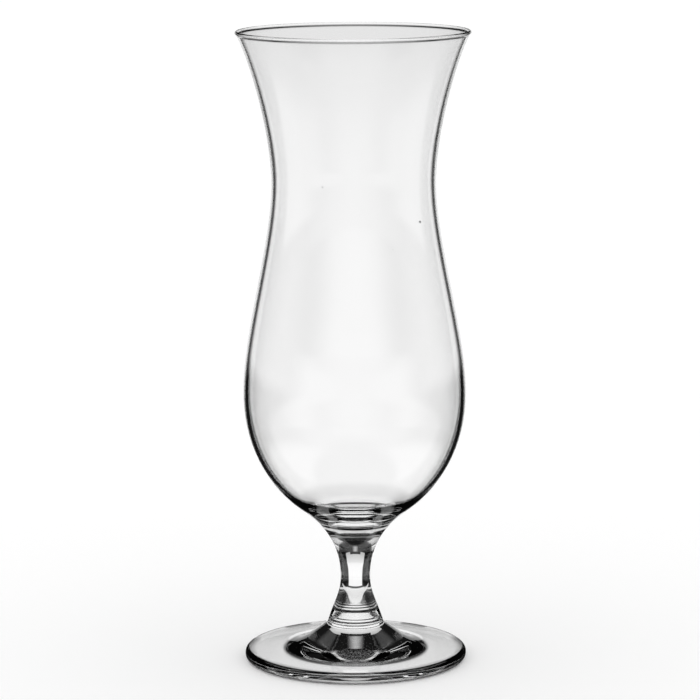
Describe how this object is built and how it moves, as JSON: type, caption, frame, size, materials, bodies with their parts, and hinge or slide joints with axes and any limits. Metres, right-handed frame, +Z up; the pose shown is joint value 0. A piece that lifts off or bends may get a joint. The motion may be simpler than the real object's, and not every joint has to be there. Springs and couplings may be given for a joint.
{
  "type": "hurricane glass",
  "caption": "Clear stemmed cocktail glass with a flared lip, a drawn-in waist, a round belly, a short waisted stem and a flat disc foot; holds a long iced drink.",
  "frame": {"origin": "centre of the foot, on the plane that the glass stands on", "axes": "+Z up along the axis of the glass, from the foot to the lip; X and Y are free, because the glass is round"},
  "size_m": [0.0754, 0.0754, 0.205],
  "materials": {
    "bowl_glass": "clear blown soda-lime glass, fire-polished",
    "stem_glass": "clear drawn soda-lime glass, fire-polished",
    "foot_glass": "clear pressed soda-lime glass, fire-polished"
  },
  "bodies": {
    "root": {"bowl": "bowl_glass", "stem": "stem_glass", "foot": "foot_glass"}
  },
  "joints": []
}
